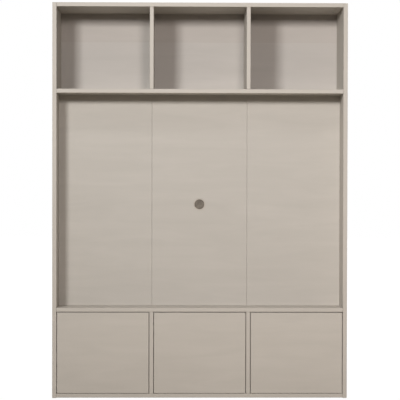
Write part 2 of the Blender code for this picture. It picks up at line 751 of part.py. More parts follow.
def build_side(word, side):
    name = f"{word}_side_panel"
    leaf = box((side * WIDTH / 2, FRONT, SIDE_BOARD_RISE), (side * SIDE_FACE, REAR, HEIGHT))
    dowels = [dowel_hole(*line) for board in BOARD_LEVELS for line in end_dowels(board, side)]
    grooves = [
        side_groove(side, LOWER_FLOOR, NICHE_SHELF_LEVEL),
        side_groove(side, UPPER_FLOOR, TOP_LEVEL),
    ]
    nails = [glide_nail_hole(place, SIDE_BOARD_RISE) for place in side_glide_places(side)]
    cleats = [screw_hole(*line, CLEAT_SCREW_LENGTH) for line in cleat_screw_lines(side)]
    changes = [
        ("DIFFERENCE", dowels + bolt_holes(side)),
        ("DIFFERENCE", grooves),
        ("DIFFERENCE", nails + cleats + hinge_holes(name)),
    ]
    piece(name, leaf, LACQUER, changes, rounding=BOARD_ROUND)


def build_level_board(name, groove, other_cuts=()):
    level = BOARD_LEVELS[name]
    end = SIDE_FACE - FIT_GAP
    dowels = [dowel(*line) for side in SIDES.values() for line in end_dowels(name, side)]
    changes = [
        ("DIFFERENCE", [dowel_hole(*line) for line in upright_dowels(name)] + cam_pockets(name)),
        ("DIFFERENCE", bolt_bores(name)),
        ("DIFFERENCE", [groove]),
        ("DIFFERENCE", list(other_cuts)),
        ("UNION", dowels),
    ]
    board = box((-end, FRONT, level), (end, REAR, level + BOARD_THICKNESS))
    piece(name, board, LACQUER, changes, rounding=BOARD_ROUND)


def build_divider(name, x, thickness, low, high):
    leaf = box(
        (x - thickness / 2, FRONT, low + FIT_GAP),
        (x + thickness / 2, BACK_FACE - FIT_GAP, high - FIT_GAP),
    )
    dowels = [dowel(*line) for level in (low, high) for line in divider_dowels(x, level)]
    piece(name, leaf, LACQUER, [("DIFFERENCE", hinge_holes(name)), ("UNION", dowels)], rounding=BOARD_ROUND)


def build_back(name, low, high):
    end = SIDE_FACE + GROOVE_DEPTH - FIT_GAP
    reach = GROOVE_DEPTH - FIT_GAP
    leaf = box((-end, BACK_FACE, low - reach), (end, BACK_FACE + BACK_THICKNESS, high + reach))
    piece(name, leaf, BACK_LACQUER)


def panel_screw_lines(x):
    return [
        (Vector((x, POST_BACK, NICHE_LOW + (NICHE_HIGH - NICHE_LOW) * share)), -BACKWARD)
        for share in PANEL_SCREW_HEIGHT_SHARES
    ]


def post_screw_lines(side):
    """Screws through a post into the panels on both sides of its seam."""
    seam = side * UPPER_DIVIDER_X
    return panel_screw_lines(seam - POST_WIDTH / 4) + panel_screw_lines(seam + POST_WIDTH / 4)


def cleat_panel_screw_lines(side):
    return panel_screw_lines(side * (SIDE_FACE - FIT_GAP - CLEAT_WIDTH / 2))


def cleat_screw_lines(side):
    """Screws through a cleat into the side board."""
    x = side * (SIDE_FACE - FIT_GAP - CLEAT_WIDTH)
    y = POST_FACE + POST_THICKNESS / 2
    heights = [NICHE_LOW + (NICHE_HIGH - NICHE_LOW) * share for share in CLEAT_SCREW_HEIGHT_SHARES]
    return [(Vector((x, y, z)), Vector((side, 0, 0))) for z in heights]


def outlet_cut(radius, depth):
    """A round cut into the centre niche panel, down to a depth from its face."""
    start = Vector((0, NICHE_FACE - CUT_OVERRUN, NICHE_LOW + OUTLET_HEIGHT))
    return rod(start, BACKWARD, radius, CUT_OVERRUN + depth, OUTLET_SIDES)


def build_niche_panels():
    seam, edge = UPPER_DIVIDER_X, SIDE_FACE - FIT_GAP
    spans = {
        "niche_panel_left": (-edge, -seam - NICHE_SEAM_GAP / 2),
        "niche_panel_center": (-seam + NICHE_SEAM_GAP / 2, seam - NICHE_SEAM_GAP / 2),
        "niche_panel_right": (seam + NICHE_SEAM_GAP / 2, edge),
    }
    lines = [line for side in SIDES.values() for line in post_screw_lines(side)]
    lines += [line for side in SIDES.values() for line in cleat_panel_screw_lines(side)]
    for name, (start, end) in spans.items():
        leaf = box((start, NICHE_FACE, NICHE_LOW + FIT_GAP), (end, NICHE_BACK, NICHE_HIGH - FIT_GAP))
        holes = [screw_hole(*line, PANEL_SCREW_LENGTH) for line in lines if start < line[0].x < end]
        changes = [("DIFFERENCE", holes)]
        if start < 0 < end:
            outlet = outlet_cut(OUTLET_RADIUS, NICHE_PANEL_THICKNESS + CUT_OVERRUN)
            lip_seat = outlet_cut(OUTLET_RADIUS + GROMMET_LIP + FIT_GAP, GROMMET_LIP_THICKNESS + 2 * FIT_GAP)
            changes += [("DIFFERENCE", [outlet]), ("DIFFERENCE", [lip_seat])]
        piece(name, leaf, LACQUER, changes, rounding=NICHE_PANEL_ROUND)


def build_niche_supports(word, side):
    """The post behind a seam and the cleat on a side board, each with its screws."""
    low, high = NICHE_LOW + FIT_GAP, NICHE_HIGH - FIT_GAP
    middle, edge = side * UPPER_DIVIDER_X, side * (SIDE_FACE - FIT_GAP)
    post = box((middle - POST_WIDTH / 2, POST_FACE, low), (middle + POST_WIDTH / 2, POST_BACK, high))
    dowels = [dowel(*post_dowel(side, level)) for level in (NICHE_LOW, NICHE_HIGH)]
    screws = [screw(*line, PANEL_SCREW_LENGTH) for line in post_screw_lines(side)]
    piece(f"niche_post_{word}", post, LACQUER, [("UNION", dowels), ("UNION", screws)])
    cleat = box((edge, POST_FACE, low), (edge - side * CLEAT_WIDTH, POST_BACK, high))
    panel_screws = [screw(*line, PANEL_SCREW_LENGTH) for line in cleat_panel_screw_lines(side)]
    side_screws = [screw(*line, CLEAT_SCREW_LENGTH) for line in cleat_screw_lines(side)]
    changes = [("UNION", panel_screws), ("UNION", side_screws)]
    piece(f"niche_cleat_{word}", cleat, LACQUER, changes)


def build_grommet():
    """A lipped ring that lines the cable outlet, its lip let into the face of the panel."""
    outer = OUTLET_RADIUS - FIT_GAP
    profile = [
        (OUTLET_RADIUS + GROMMET_LIP, FIT_GAP),
        (OUTLET_RADIUS + GROMMET_LIP, FIT_GAP + GROMMET_LIP_THICKNESS),
        (outer, FIT_GAP + GROMMET_LIP_THICKNESS),
        (outer, GROMMET_LENGTH),
    ]
    ring = turned(profile, (0, NICHE_FACE, NICHE_LOW + OUTLET_HEIGHT), BACKWARD, OUTLET_SIDES)
    changes = [("DIFFERENCE", [outlet_cut(outer - GROMMET_WALL, GROMMET_LENGTH + CUT_OVERRUN)])]
    piece("cable_grommet", ring, GROMMET_PLASTIC, changes, smooth=True)


def cable_slots():
    """Slots through the niche shelf, behind the niche panels, one over each lower bay."""
    y = (POST_BACK + BACK_FACE) / 2
    half = (SLOT_LENGTH - SLOT_WIDTH) / 2
    pitch = LOWER_BAY_WIDTH + LOWER_DIVIDER_THICKNESS
    return [
        prism(
            stadium((x - half, y), (x + half, y), SLOT_WIDTH / 2, SLOT_END_STEPS),
            NICHE_SHELF_LEVEL - CUT_OVERRUN,
            NICHE_LOW + CUT_OVERRUN,
            lambda a, b, z: Vector((a, b, z)),
        )
        for x in (-pitch, 0, pitch)
    ]


def build_glide(name, place, board_level):
    """A nailed-on glide between the floor and the board above it."""
    height = board_level - FIT_GAP
    profile = [
        (GLIDE_RADIUS, 0),
        (GLIDE_RADIUS, height),
        (GLIDE_NAIL_RADIUS, height),
        (GLIDE_NAIL_RADIUS, board_level + GLIDE_NAIL_LENGTH),
    ]
    piece(name, turned(profile, place, UP, GLIDE_SIDES), GLIDE_PLASTIC, smooth=True)


def build_carcass():
    latch_holes = [screw_hole(*line, LATCH_SCREW_LENGTH) for door in DOORS for line in latch_screw_lines(door)]
    feet = [glide_nail_hole(center_foot_place(side), BOTTOM_LEVEL) for side in SIDES.values()]
    build_level_board("top_panel", level_groove(TOP_LEVEL, 1))
    build_level_board("upper_shelf", level_groove(UPPER_FLOOR, -1))
    build_level_board("niche_shelf", level_groove(NICHE_SHELF_LEVEL, 1), cable_slots() + latch_holes)
    build_level_board("bottom_panel", level_groove(LOWER_FLOOR, -1), feet)
    build_back("upper_back_panel", UPPER_FLOOR, TOP_LEVEL)
    build_back("lower_back_panel", LOWER_FLOOR, NICHE_SHELF_LEVEL)
    build_niche_panels()
    build_grommet()
    for word, side in SIDES.items():
        build_side(word, side)
        build_divider(
            f"upper_divider_{word}", side * UPPER_DIVIDER_X, UPPER_DIVIDER_THICKNESS, UPPER_FLOOR, TOP_LEVEL
        )
        build_divider(
            f"lower_divider_{word}",
            side * LOWER_DIVIDER_X,
            LOWER_DIVIDER_THICKNESS,
            LOWER_FLOOR,
            NICHE_SHELF_LEVEL,
        )
        build_niche_supports(word, side)
        for end, place in zip(("front", "rear"), side_glide_places(side)):
            build_glide(f"floor_glide_{end}_{word}", place, SIDE_BOARD_RISE)
        build_glide(f"center_foot_{word}", center_foot_place(side), BOTTOM_LEVEL)


def build_doors():
    middle = (DOOR_LOW + DOOR_HIGH) / 2
    for door in DOORS:
        hinge_axis = axis_empty(f"{door.name}_hinge_axis", door.at(AXIS_ACROSS, AXIS_BACK, middle))
        link_axis = axis_empty(f"{door.name}_link_axis", door.at(*CUP_PIN, middle))
        build_door(door, hinge_axis)
        for name, z in HINGE_LEVELS.items():
            build_cup(door, name, z, hinge_axis)
            build_link(door, name, z, link_axis)
            build_arm(door, name, z)
            build_plate(door, name, z)
        build_latch(door)


clear_scene()
build_carcass()
build_doors()
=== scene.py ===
import json
import math

import bpy
from mathutils import Euler, Matrix, Vector

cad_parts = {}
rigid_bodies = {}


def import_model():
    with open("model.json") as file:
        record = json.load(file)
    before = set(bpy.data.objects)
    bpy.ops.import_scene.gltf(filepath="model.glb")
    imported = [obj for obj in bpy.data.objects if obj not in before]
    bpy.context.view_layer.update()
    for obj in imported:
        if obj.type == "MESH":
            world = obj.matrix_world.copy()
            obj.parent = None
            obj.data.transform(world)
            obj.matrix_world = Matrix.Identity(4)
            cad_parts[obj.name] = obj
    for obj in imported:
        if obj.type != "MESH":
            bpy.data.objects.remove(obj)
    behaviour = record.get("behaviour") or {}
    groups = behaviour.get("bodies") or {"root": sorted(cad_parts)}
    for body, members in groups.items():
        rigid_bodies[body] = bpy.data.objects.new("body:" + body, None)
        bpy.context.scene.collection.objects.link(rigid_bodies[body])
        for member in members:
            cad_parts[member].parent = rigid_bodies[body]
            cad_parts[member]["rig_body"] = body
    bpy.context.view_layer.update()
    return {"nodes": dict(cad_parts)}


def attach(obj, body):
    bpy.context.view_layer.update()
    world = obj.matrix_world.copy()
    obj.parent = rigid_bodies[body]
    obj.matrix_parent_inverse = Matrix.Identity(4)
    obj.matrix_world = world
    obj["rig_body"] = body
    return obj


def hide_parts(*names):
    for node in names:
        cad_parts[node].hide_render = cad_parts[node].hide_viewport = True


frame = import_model()
nodes = frame["nodes"]
print("frame loaded:", len(nodes), "nodes")


def srgb(code):
    # a hex colour as linear red, green, blue and alpha
    parts = [int(code[i:i + 2], 16) / 255 for i in (1, 3, 5)]
    return [p / 12.92 if p <= 0.04045 else ((p + 0.055) / 1.055) ** 2.4 for p in parts] + [1.0]


def addNode(tree, kind, settings=None, links=None):
    # one node with its settings, by attribute or by input, and the sockets that feed it
    node = tree.nodes.new(kind)
    for key, value in (settings or {}).items():
        if isinstance(key, str) and hasattr(node, key):
            setattr(node, key, value)
        else:
            node.inputs[key].default_value = value
    for key, source in (links or {}).items():
        tree.links.new(source, node.inputs[key])
    return node


def newMaterial(name, settings):
    # a material with its shader, and the node tree to draw its pattern in
    material = bpy.data.materials.new(name)
    material.use_nodes = True
    shader = material.node_tree.nodes["Principled BSDF"]
    for key, value in settings.items():
        shader.inputs[key].default_value = value
    return material, material.node_tree, shader


def dress(piece, material):
    piece.data.materials.clear()
    piece.data.materials.append(material)


# Pine board under a matt water-based lacquer in warm clay. The lacquer evens the colour
# out: only a slow drift of tone and fine brushed grain are left, and the sheen is low.
lacquer = {
    "pale": "#b9b3aa",
    "deep": "#b4aea5",
    "roughness": (0.50, 0.60),
    "specular": 0.18,
    "figureLength": 0.42,   # slow tone drift, drawn coarser than real growth rings to show
    "figureWidth": 0.065,
    "figureSwirl": 0.8,
    "grainLength": 0.16,
    "grainWidth": 0.0035,   # growth rings of pine, 3 to 4 mm apart
    "grainShare": 0.25,     # how much the grain adds to the tone of the figure
    "toneRange": (0.40, 0.85),
    "relief": 0.00006,      # what the brushing leaves under the lacquer
}
noiseRange = (0.3, 0.7)     # nearly all values of a noise texture lie between these


def lacquerMaterial(name, along, sizes, offset):
    material, tree, shader = newMaterial(name, {"Specular IOR Level": sizes["specular"]})
    figureScale = [1 / sizes["figureWidth"]] * 3
    grainScale = [1 / sizes["grainWidth"]] * 3
    figureScale[along] = 1 / sizes["figureLength"]
    grainScale[along] = 1 / sizes["grainLength"]
    place = addNode(tree, "ShaderNodeTexCoord").outputs["Object"]
    figurePlace = addNode(tree, "ShaderNodeMapping", {"Location": offset, "Scale": figureScale},
                          {"Vector": place})
    grainPlace = addNode(tree, "ShaderNodeMapping", {"Location": offset, "Scale": grainScale},
                         {"Vector": place})
    figure = addNode(tree, "ShaderNodeTexNoise",
                     {"Scale": 1.0, "Detail": 3.0, "Distortion": sizes["figureSwirl"]},
                     {"Vector": figurePlace.outputs["Vector"]})
    grain = addNode(tree, "ShaderNodeTexNoise", {"Scale": 1.0, "Detail": 2.0, "Roughness": 0.6},
                    {"Vector": grainPlace.outputs["Vector"]})
    blend = addNode(tree, "ShaderNodeMath", {"operation": "MULTIPLY_ADD", 1: sizes["grainShare"]},
                    {0: grain.outputs["Fac"], 2: figure.outputs["Fac"]})
    tone = addNode(tree, "ShaderNodeMapRange",
                   {"From Min": sizes["toneRange"][0], "From Max": sizes["toneRange"][1]},
                   {"Value": blend.outputs["Value"]})
    # a colour mix takes its share at input 0 and its two colours at 6 and 7
    colour = addNode(tree, "ShaderNodeMix",
                     {"data_type": "RGBA", 6: srgb(sizes["deep"]), 7: srgb(sizes["pale"])},
                     {0: tone.outputs["Result"]})
    sheen = addNode(tree, "ShaderNodeMapRange",
                    {"From Min": noiseRange[0], "From Max": noiseRange[1],
                     "To Min": sizes["roughness"][0], "To Max": sizes["roughness"][1]},
                    {"Value": grain.outputs["Fac"]})
    relief = addNode(tree, "ShaderNodeBump", {"Strength": 1.0, "Distance": sizes["relief"]},
                     {"Height": grain.outputs["Fac"]})
    if "seamHeight" in sizes:
        # above the seam a second sheet of the board, tinted a shade deeper
        height = addNode(tree, "ShaderNodeSeparateXYZ", {}, {0: place}).outputs["Z"]
        above = addNode(tree, "ShaderNodeMath", {"operation": "GREATER_THAN", 1: sizes["seamHeight"]},
                        {0: height})
        colour = addNode(tree, "ShaderNodeMix",
                         {"data_type": "RGBA", "blend_type": "MULTIPLY", 7: srgb(sizes["sheetTint"])},
                         {0: above.outputs["Value"], 6: colour.outputs[2]})
    tree.links.new(colour.outputs[2], shader.inputs["Base Color"])
    tree.links.new(sheen.outputs["Result"], shader.inputs["Roughness"])
    tree.links.new(relief.outputs["Normal"], shader.inputs["Normal"])
    return material


levelLacquer = lacquerMaterial("clayLacquerOnPineLevel", 0, lacquer, (0.0, 0.0, 0.0))
# The niche panels are tinted a shade darker than the boards round them, as painted shade of the recessed niche.
panelLacquerWithPaintedShade = lacquerMaterial("clayLacquerOnPinePanelWithPaintedShade", 0,
                               {**lacquer, "pale": "#b6b1a9", "deep": "#b1aca4"}, (1.3, 4.4, 2.6))
uprightLacquer = lacquerMaterial("clayLacquerOnPineUpright", 2, lacquer, (3.1, 1.7, 0.4))
# The thin back boards have a duller lacquer, tinted a little darker as painted shade of their recess behind the
# fronts.
# The upper one is in two sheets, and the seam shows as a small step of tone.
backLacquerWithPaintedShade = lacquerMaterial("clayLacquerOnThinBoardWithPaintedShade", 0,
                              {**lacquer, "pale": "#b5b0aa", "deep": "#b0aba5", "roughness": (0.56, 0.64),
                               "seamHeight": 1.9625, "sheetTint": "#faf8f7"},
                              (5.3, 2.2, 1.9))

# Stamped steel under satin nickel: warm grey, an even gloss, and the faint orange peel of
# the plating.
nickel = {"pale": "#c2bdb4", "deep": "#aaa59c", "metallic": 1.0, "specular": 0.5,
          "roughness": (0.24, 0.34), "grain": 0.0009, "relief": 0.000010}
# Zinc-plated steel, blue passivated: colder and brighter than the nickel.
zinc = {"pale": "#bfc3c8", "deep": "#a3a7ac", "metallic": 1.0, "specular": 0.5,
        "roughness": (0.28, 0.40), "grain": 0.0007, "relief": 0.000012}
# Die-cast zinc left bare: duller, with the fine grain that the mould gives it.
castZinc = {"pale": "#a9aaaa", "deep": "#8d8e8e", "metallic": 1.0, "specular": 0.5,
            "roughness": (0.42, 0.54), "grain": 0.0010, "relief": 0.000030}
# Acetal, injection moulded in grey: waxy, semi-matt, smooth from the tool.
acetal = {"pale": "#959592", "deep": "#8c8c89", "metallic": 0.0, "specular": 0.45,
          "roughness": (0.40, 0.48), "grain": 0.0012, "relief": 0.000015}
# ABS moulded in the colour of the lacquer, spark-eroded finish: matt, with a fine even tooth.
clayPlastic = {"pale": "#b4aca2", "deep": "#aba399", "metallic": 0.0, "specular": 0.4,
               "roughness": (0.50, 0.60), "grain": 0.0008, "relief": 0.000030}
# Nylon bristles, drawn and cut: dark taupe, each one a little different.
nylon = {"pale": "#857d72", "deep": "#5f5850", "metallic": 0.0, "specular": 0.4,
         "roughness": (0.40, 0.55), "grain": 0.0011, "relief": 0.000020}
# Polyethylene glides, moulded in near black, scuffed dull underneath.
polyethylene = {"pale": "#4a4744", "deep": "#3f3c39", "metallic": 0.0, "specular": 0.35,
                "roughness": (0.48, 0.62), "grain": 0.0010, "relief": 0.000030}
# What these have in common: the drift's share of the grain's scale, and how the two mix.
fineGrain = {"drift": 0.05, "grainShare": 0.4, "toneRange": (0.45, 0.95)}


def fineMaterial(name, sizes):
    # metals and plastics: a fine grain that drives tone, gloss and relief, under a slow drift
    material, tree, shader = newMaterial(name, {"Specular IOR Level": sizes["specular"],
                                                "Metallic": sizes["metallic"]})
    place = addNode(tree, "ShaderNodeTexCoord").outputs["Object"]
    grain = addNode(tree, "ShaderNodeTexNoise", {"Scale": 1 / sizes["grain"], "Detail": 2.0},
                    {"Vector": place})
    drift = addNode(tree, "ShaderNodeTexNoise", {"Scale": fineGrain["drift"] / sizes["grain"], "Detail": 2.0},
                    {"Vector": place})
    blend = addNode(tree, "ShaderNodeMath", {"operation": "MULTIPLY_ADD", 1: fineGrain["grainShare"]},
                    {0: grain.outputs["Fac"], 2: drift.outputs["Fac"]})
    tone = addNode(tree, "ShaderNodeMapRange",
                   {"From Min": fineGrain["toneRange"][0], "From Max": fineGrain["toneRange"][1]},
                   {"Value": blend.outputs["Value"]})
    colour = addNode(tree, "ShaderNodeMix",
                     {"data_type": "RGBA", 6: srgb(sizes["deep"]), 7: srgb(sizes["pale"])},
                     {0: tone.outputs["Result"]})
    gloss = addNode(tree, "ShaderNodeMapRange",
                    {"From Min": noiseRange[0], "From Max": noiseRange[1],
                     "To Min": sizes["roughness"][0], "To Max": sizes["roughness"][1]},
                    {"Value": drift.outputs["Fac"]})
    relief = addNode(tree, "ShaderNodeBump", {"Strength": 1.0, "Distance": sizes["relief"]},
                     {"Height": grain.outputs["Fac"]})
    tree.links.new(colour.outputs[2], shader.inputs["Base Color"])
    tree.links.new(gloss.outputs["Result"], shader.inputs["Roughness"])
    tree.links.new(relief.outputs["Normal"], shader.inputs["Normal"])
    return material


nickelSteel = fineMaterial("satinNickelOnSteel", nickel)
zincSteel = fineMaterial("blueZincOnSteel", zinc)
bareCasting = fineMaterial("bareZincCasting", castZinc)
greyAcetal = fineMaterial("mouldedGreyAcetal", acetal)
clayAbs = fineMaterial("mouldedClayAbs", clayPlastic)
brushNylon = fineMaterial("drawnNylonBristle", nylon)
blackPolyethylene = fineMaterial("mouldedPolyethylene", polyethylene)
print("materials made:", len(bpy.data.materials))

levelBoards = ["top_panel", "upper_shelf", "niche_shelf", "bottom_panel"]
nichePanels = ["niche_panel_left", "niche_panel_right", "niche_panel_center"]
doors = ["left_door", "center_door", "right_door"]
uprightBoards = [name for name in nodes if name.endswith("side_panel") or "divider" in name
                 or name.startswith(("niche_post", "niche_cleat"))]
backBoards = ["upper_back_panel", "lower_back_panel"]
steelParts = [name for name in nodes if name.endswith(("hinge_cup", "hinge_link", "hinge_arm", "hinge_plate"))]
latchParts = [name for name in nodes if "latch" in name]
glideParts = [name for name in nodes if name.startswith(("floor_glide", "center_foot"))]
finishOf = [
    (levelBoards + doors, levelLacquer),
    (nichePanels, panelLacquerWithPaintedShade),
    (uprightBoards, uprightLacquer),
    (backBoards, backLacquerWithPaintedShade),
    (steelParts, nickelSteel),
    (latchParts, greyAcetal),
    (["cable_grommet"], clayAbs),
    (glideParts, blackPolyethylene),
]
for names, material in finishOf:
    for name in names:
        dress(nodes[name], material)

# How pieces are shaped and picked: angles in degrees, lengths in metres.
shaping = {
    "smoothBelow": 38,      # faces that meet at less shade as one
    "arrisAbove": 33,       # edges that are sharper are rounded
    "flatBelow": 0.5,       # faces that meet at less become one
    "merge": 0.000001,      # points of a CAD copy this close become one
    "mergeDrawn": 0.00001,  # the same for a drawn ring
    "squarely": 0.99,       # how far along an axis the normal of a face that looks that way lies
    "nearTop": 0.9,         # the share of a head's height above which its top rim lies
    "recessTaper": (0.62, 0.8, 1),  # a recess's length, width and depth at its floor
}


def onlyThis(piece):
    # nothing but this piece is selected and active, in object mode
    bpy.ops.object.select_all(action="DESELECT")
    piece.select_set(True)
    bpy.context.view_layer.objects.active = piece


def choose(piece, kind, test):
    # in edit mode, picks the faces (centre, normal) or edges (end, end) that pass the test
    bpy.ops.mesh.select_mode(type=kind)
    bpy.ops.mesh.select_all(action="DESELECT")
    bpy.ops.object.mode_set(mode="OBJECT")
    if kind == "FACE":
        for face in piece.data.polygons:
            face.select = test(face.center, face.normal)
    else:
        for edge in piece.data.edges:
            ends = [piece.data.vertices[i].co for i in edge.vertices]
            edge.select = test(*ends)
    bpy.ops.object.mode_set(mode="EDIT")


def applyModifier(piece, kind, settings):
    onlyThis(piece)
    modifier = piece.modifiers.new(kind.lower(), kind)
    for key, value in settings.items():
        setattr(modifier, key, value)
    bpy.ops.object.modifier_apply(modifier=modifier.name)


def settle(piece):
    # place, turn and size go into the mesh, and round faces shade smooth
    onlyThis(piece)
    bpy.ops.object.transform_apply(location=True, rotation=True, scale=True)
    bpy.ops.object.shade_smooth_by_angle(angle=math.radians(shaping["smoothBelow"]))


def cutAway(piece, cutter):
    applyModifier(piece, "BOOLEAN", {"object": cutter, "operation": "DIFFERENCE", "solver": "EXACT"})
    bpy.data.objects.remove(cutter)


def joinOn(piece, other):
    applyModifier(piece, "BOOLEAN", {"object": other, "operation": "UNION", "solver": "EXACT"})
    bpy.data.objects.remove(other)


def block(low, high):
    # a block between two corners, to be shaped and joined on
    bpy.ops.object.select_all(action="DESELECT")
    bpy.ops.mesh.primitive_cube_add(size=1, location=[(a + b) / 2 for a, b in zip(low, high)])
    piece = bpy.context.object
    piece.scale = [b - a for a, b in zip(low, high)]
    settle(piece)
    return piece


def drawRound(name, sides, height, profile):
    # a ring facing the fronts, drawn along y through each radius and place of the profile
    radius, along = profile[0]
    bpy.ops.object.select_all(action="DESELECT")
    bpy.ops.mesh.primitive_circle_add(vertices=sides, radius=radius, location=(0, along, height),
                                      rotation=(math.radians(90), 0, 0))
    piece = bpy.context.object
    piece.name = name
    settle(piece)
    bpy.ops.object.mode_set(mode="EDIT")
    bpy.ops.mesh.select_mode(type="VERT")
    bpy.ops.mesh.select_all(action="SELECT")
    for nextRadius, nextAlong in profile[1:]:
        bpy.ops.mesh.extrude_region_move(TRANSFORM_OT_translate={"value": (0, nextAlong - along, 0)})
        share = nextRadius / radius
        bpy.ops.transform.resize(value=(share, 1, share), center_override=(0, nextAlong, height))
        radius, along = nextRadius, nextAlong
    bpy.ops.mesh.select_all(action="SELECT")
    bpy.ops.mesh.remove_doubles(threshold=shaping["mergeDrawn"])
    bpy.ops.mesh.fill_holes(sides=0)
    bpy.ops.mesh.select_all(action="SELECT")
    bpy.ops.mesh.normals_make_consistent(inside=False)
    bpy.ops.object.mode_set(mode="OBJECT")
    return piece


def crossCut(piece, level, floor, length, width):
    # a cross recess in a face at this level, down to the floor, with walls that lean in
    for turn in (0, 90):
        bpy.ops.object.select_all(action="DESELECT")
        bpy.ops.mesh.primitive_cube_add(size=1, location=(0, 0, (level + floor) / 2))
        cutter = bpy.context.object
        cutter.scale = (length, width, abs(level - floor))
        cutter.rotation_euler = (0, 0, math.radians(turn))
        down = -1 if floor < level else 1
        bpy.ops.object.mode_set(mode="EDIT")
        choose(cutter, "FACE", lambda centre, normal: normal.z * down > shaping["squarely"])
        bpy.ops.transform.resize(value=shaping["recessTaper"])
        bpy.ops.object.mode_set(mode="OBJECT")
        settle(cutter)
        cutAway(piece, cutter)


def placeCopy(pattern, name, matrix, body):
    piece = bpy.data.objects.new(name, pattern.data.copy())
    bpy.context.scene.collection.objects.link(piece)
    piece.data.transform(matrix)
    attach(piece, body)
    return piece


def facing(seat, direction):
    # a pattern drawn upwards from the origin, set on a seat and turned to face a direction
    return Matrix.Translation(seat) @ Vector(direction).to_track_quat("Z", "Y").to_matrix().to_4x4()


def roundEdges(piece, width, segments):
    # merges what is double or flat, rounds the arrises, and shades the rest smooth
    onlyThis(piece)
    bpy.ops.object.mode_set(mode="EDIT")
    bpy.ops.mesh.select_all(action="SELECT")
    bpy.ops.mesh.remove_doubles(threshold=shaping["merge"])
    bpy.ops.mesh.dissolve_limited(angle_limit=math.radians(shaping["flatBelow"]))
    bpy.ops.mesh.select_all(action="SELECT")
    bpy.ops.mesh.vert_connect_concave()
    bpy.ops.object.mode_set(mode="OBJECT")
    bpy.ops.mesh.customdata_custom_splitnormals_clear()
    applyModifier(piece, "BEVEL", {"limit_method": "ANGLE", "angle_limit": math.radians(shaping["arrisAbove"]),
                                   "width": width, "segments": segments, "use_clamp_overlap": True})
    bpy.ops.object.shade_smooth_by_angle(angle=math.radians(shaping["smoothBelow"]))
    applyModifier(piece, "WEIGHTED_NORMAL", {"keep_sharp": True})


def rounded(name, width, segments, cutter=None):
    # a copy of a CAD piece with its arrises rounded stands for it
    source = nodes[name]
    piece = bpy.data.objects.new(name + "_rounded", source.data.copy())
    bpy.context.scene.collection.objects.link(piece)
    if cutter:
        onlyThis(piece)
        bpy.ops.object.mode_set(mode="EDIT")
        bpy.ops.mesh.select_all(action="SELECT")
        bpy.ops.mesh.remove_doubles(threshold=shaping["merge"])
        bpy.ops.object.mode_set(mode="OBJECT")
        cutAway(piece, cutter)
    roundEdges(piece, width, segments)
    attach(piece, source["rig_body"])
    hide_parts(name)
    return piece


# Where the doors' fittings stand: u across from the side that a door hangs on, v back from
# the fronts.
fronts = -0.19
doorSides = {"left": (-0.777, 1), "center": (-0.251667, 1), "right": (0.777, -1)}  # start of u, its direction
hingeLevels = {"lower": 0.108, "upper": 0.3865}
latchAcross = 0.443333
latchLevel = 0.456


def spot(door, u, v, z):
    side, hand = doorSides[door]
    return (side + hand * u, fronts + v, z)


# The back boards keep the CAD's own edges. The latches, the grommet and the middle niche panel
# are made further down.
edgeRounding = {"board": 0.0005, "door": 0.0006, "steel": 0.00025, "plastic": 0.0004, "segments": 2}
for name in steelParts:
    rounded(name, edgeRounding["steel"], edgeRounding["segments"])
for name in glideParts:
    rounded(name, edgeRounding["plastic"], edgeRounding["segments"])
for name in doors + levelBoards + nichePanels[:2] + uprightBoards:
    width = edgeRounding["door" if name in doors else "board"]
    rounded(name, width, edgeRounding["segments"])
print("arrises rounded")

# The domed head of a screw with a cross recess. 46 of them hold hinge cups, hinge plates,
# latches, posts and cleats.
screwHead = {"radius": 0.0039, "height": 0.0023, "crown": 0.0014, "crownSegments": 5, "overcut": 0.0002,
             "recessFloor": 0.00165, "recessLength": 0.0044, "recessWidth": 0.0009, "sides": 24}
bpy.ops.object.select_all(action="DESELECT")
bpy.ops.mesh.primitive_cylinder_add(vertices=screwHead["sides"], radius=screwHead["radius"],
                                    depth=screwHead["height"], location=(0, 0, screwHead["height"] / 2))
headPattern = bpy.context.object
settle(headPattern)
bpy.ops.object.mode_set(mode="EDIT")
choose(headPattern, "EDGE", lambda a, b: min(a.z, b.z) > screwHead["height"] * shaping["nearTop"])
bpy.ops.mesh.bevel(offset=screwHead["crown"], segments=screwHead["crownSegments"], profile=0.5,
                   affect="EDGES")
bpy.ops.object.mode_set(mode="OBJECT")
crossCut(headPattern, screwHead["height"] + screwHead["overcut"], screwHead["recessFloor"],
         screwHead["recessLength"], screwHead["recessWidth"])
settle(headPattern)
dress(headPattern, zincSteel)

# Their seats, and how far each of a pair stands from the middle. Those of the doors' fittings are
# in u and v. The screws through the cleats into the panels stand level with the posts' own.
screwSeats = {
    "cup": {"u": 0.024, "v": 0.0215, "spread": 0.0222},
    "plate": {"u": 0.0028, "v": 0.064, "spread": 0.016},
    "latch": {"v": 0.0613, "z": 0.4677, "spread": 0.0108},
    "post": {"x": 0.2625, "y": 0.0303, "z": {"low": 0.6317, "high": 1.5163}, "spread": 0.015},
    "cleatPanel": {"x": 0.7657},
    "cleatSide": {"x": 0.7547, "y": 0.0193, "z": {"low": 0.7481, "high": 1.3999}},
}
cupSeat, plateSeat, latchSeat, postSeat = (screwSeats[kind] for kind in ("cup", "plate", "latch", "post"))
panelSeat, sideSeat = screwSeats["cleatPanel"], screwSeats["cleatSide"]
seats = []
for door, (side, hand) in doorSides.items():
    for level, height in hingeLevels.items():
        for end, sign in (("low", -1), ("high", 1)):
            seats.append((f"{door}_{level}_cup_screw_{end}",
                          spot(door, cupSeat["u"], cupSeat["v"], height + sign * cupSeat["spread"]), (0, 1, 0),
                          f"{door}_door_leaf"))
            seats.append((f"{door}_{level}_plate_screw_{end}",
                          spot(door, plateSeat["u"], plateSeat["v"], height + sign * plateSeat["spread"]),
                          (hand, 0, 0), "cabinet"))
    for end, sign in (("near", -1), ("far", 1)):
        seats.append((f"{door}_latch_screw_{end}",
                      spot(door, latchAcross + sign * latchSeat["spread"], latchSeat["v"], latchSeat["z"]),
                      (0, 0, -1), "cabinet"))
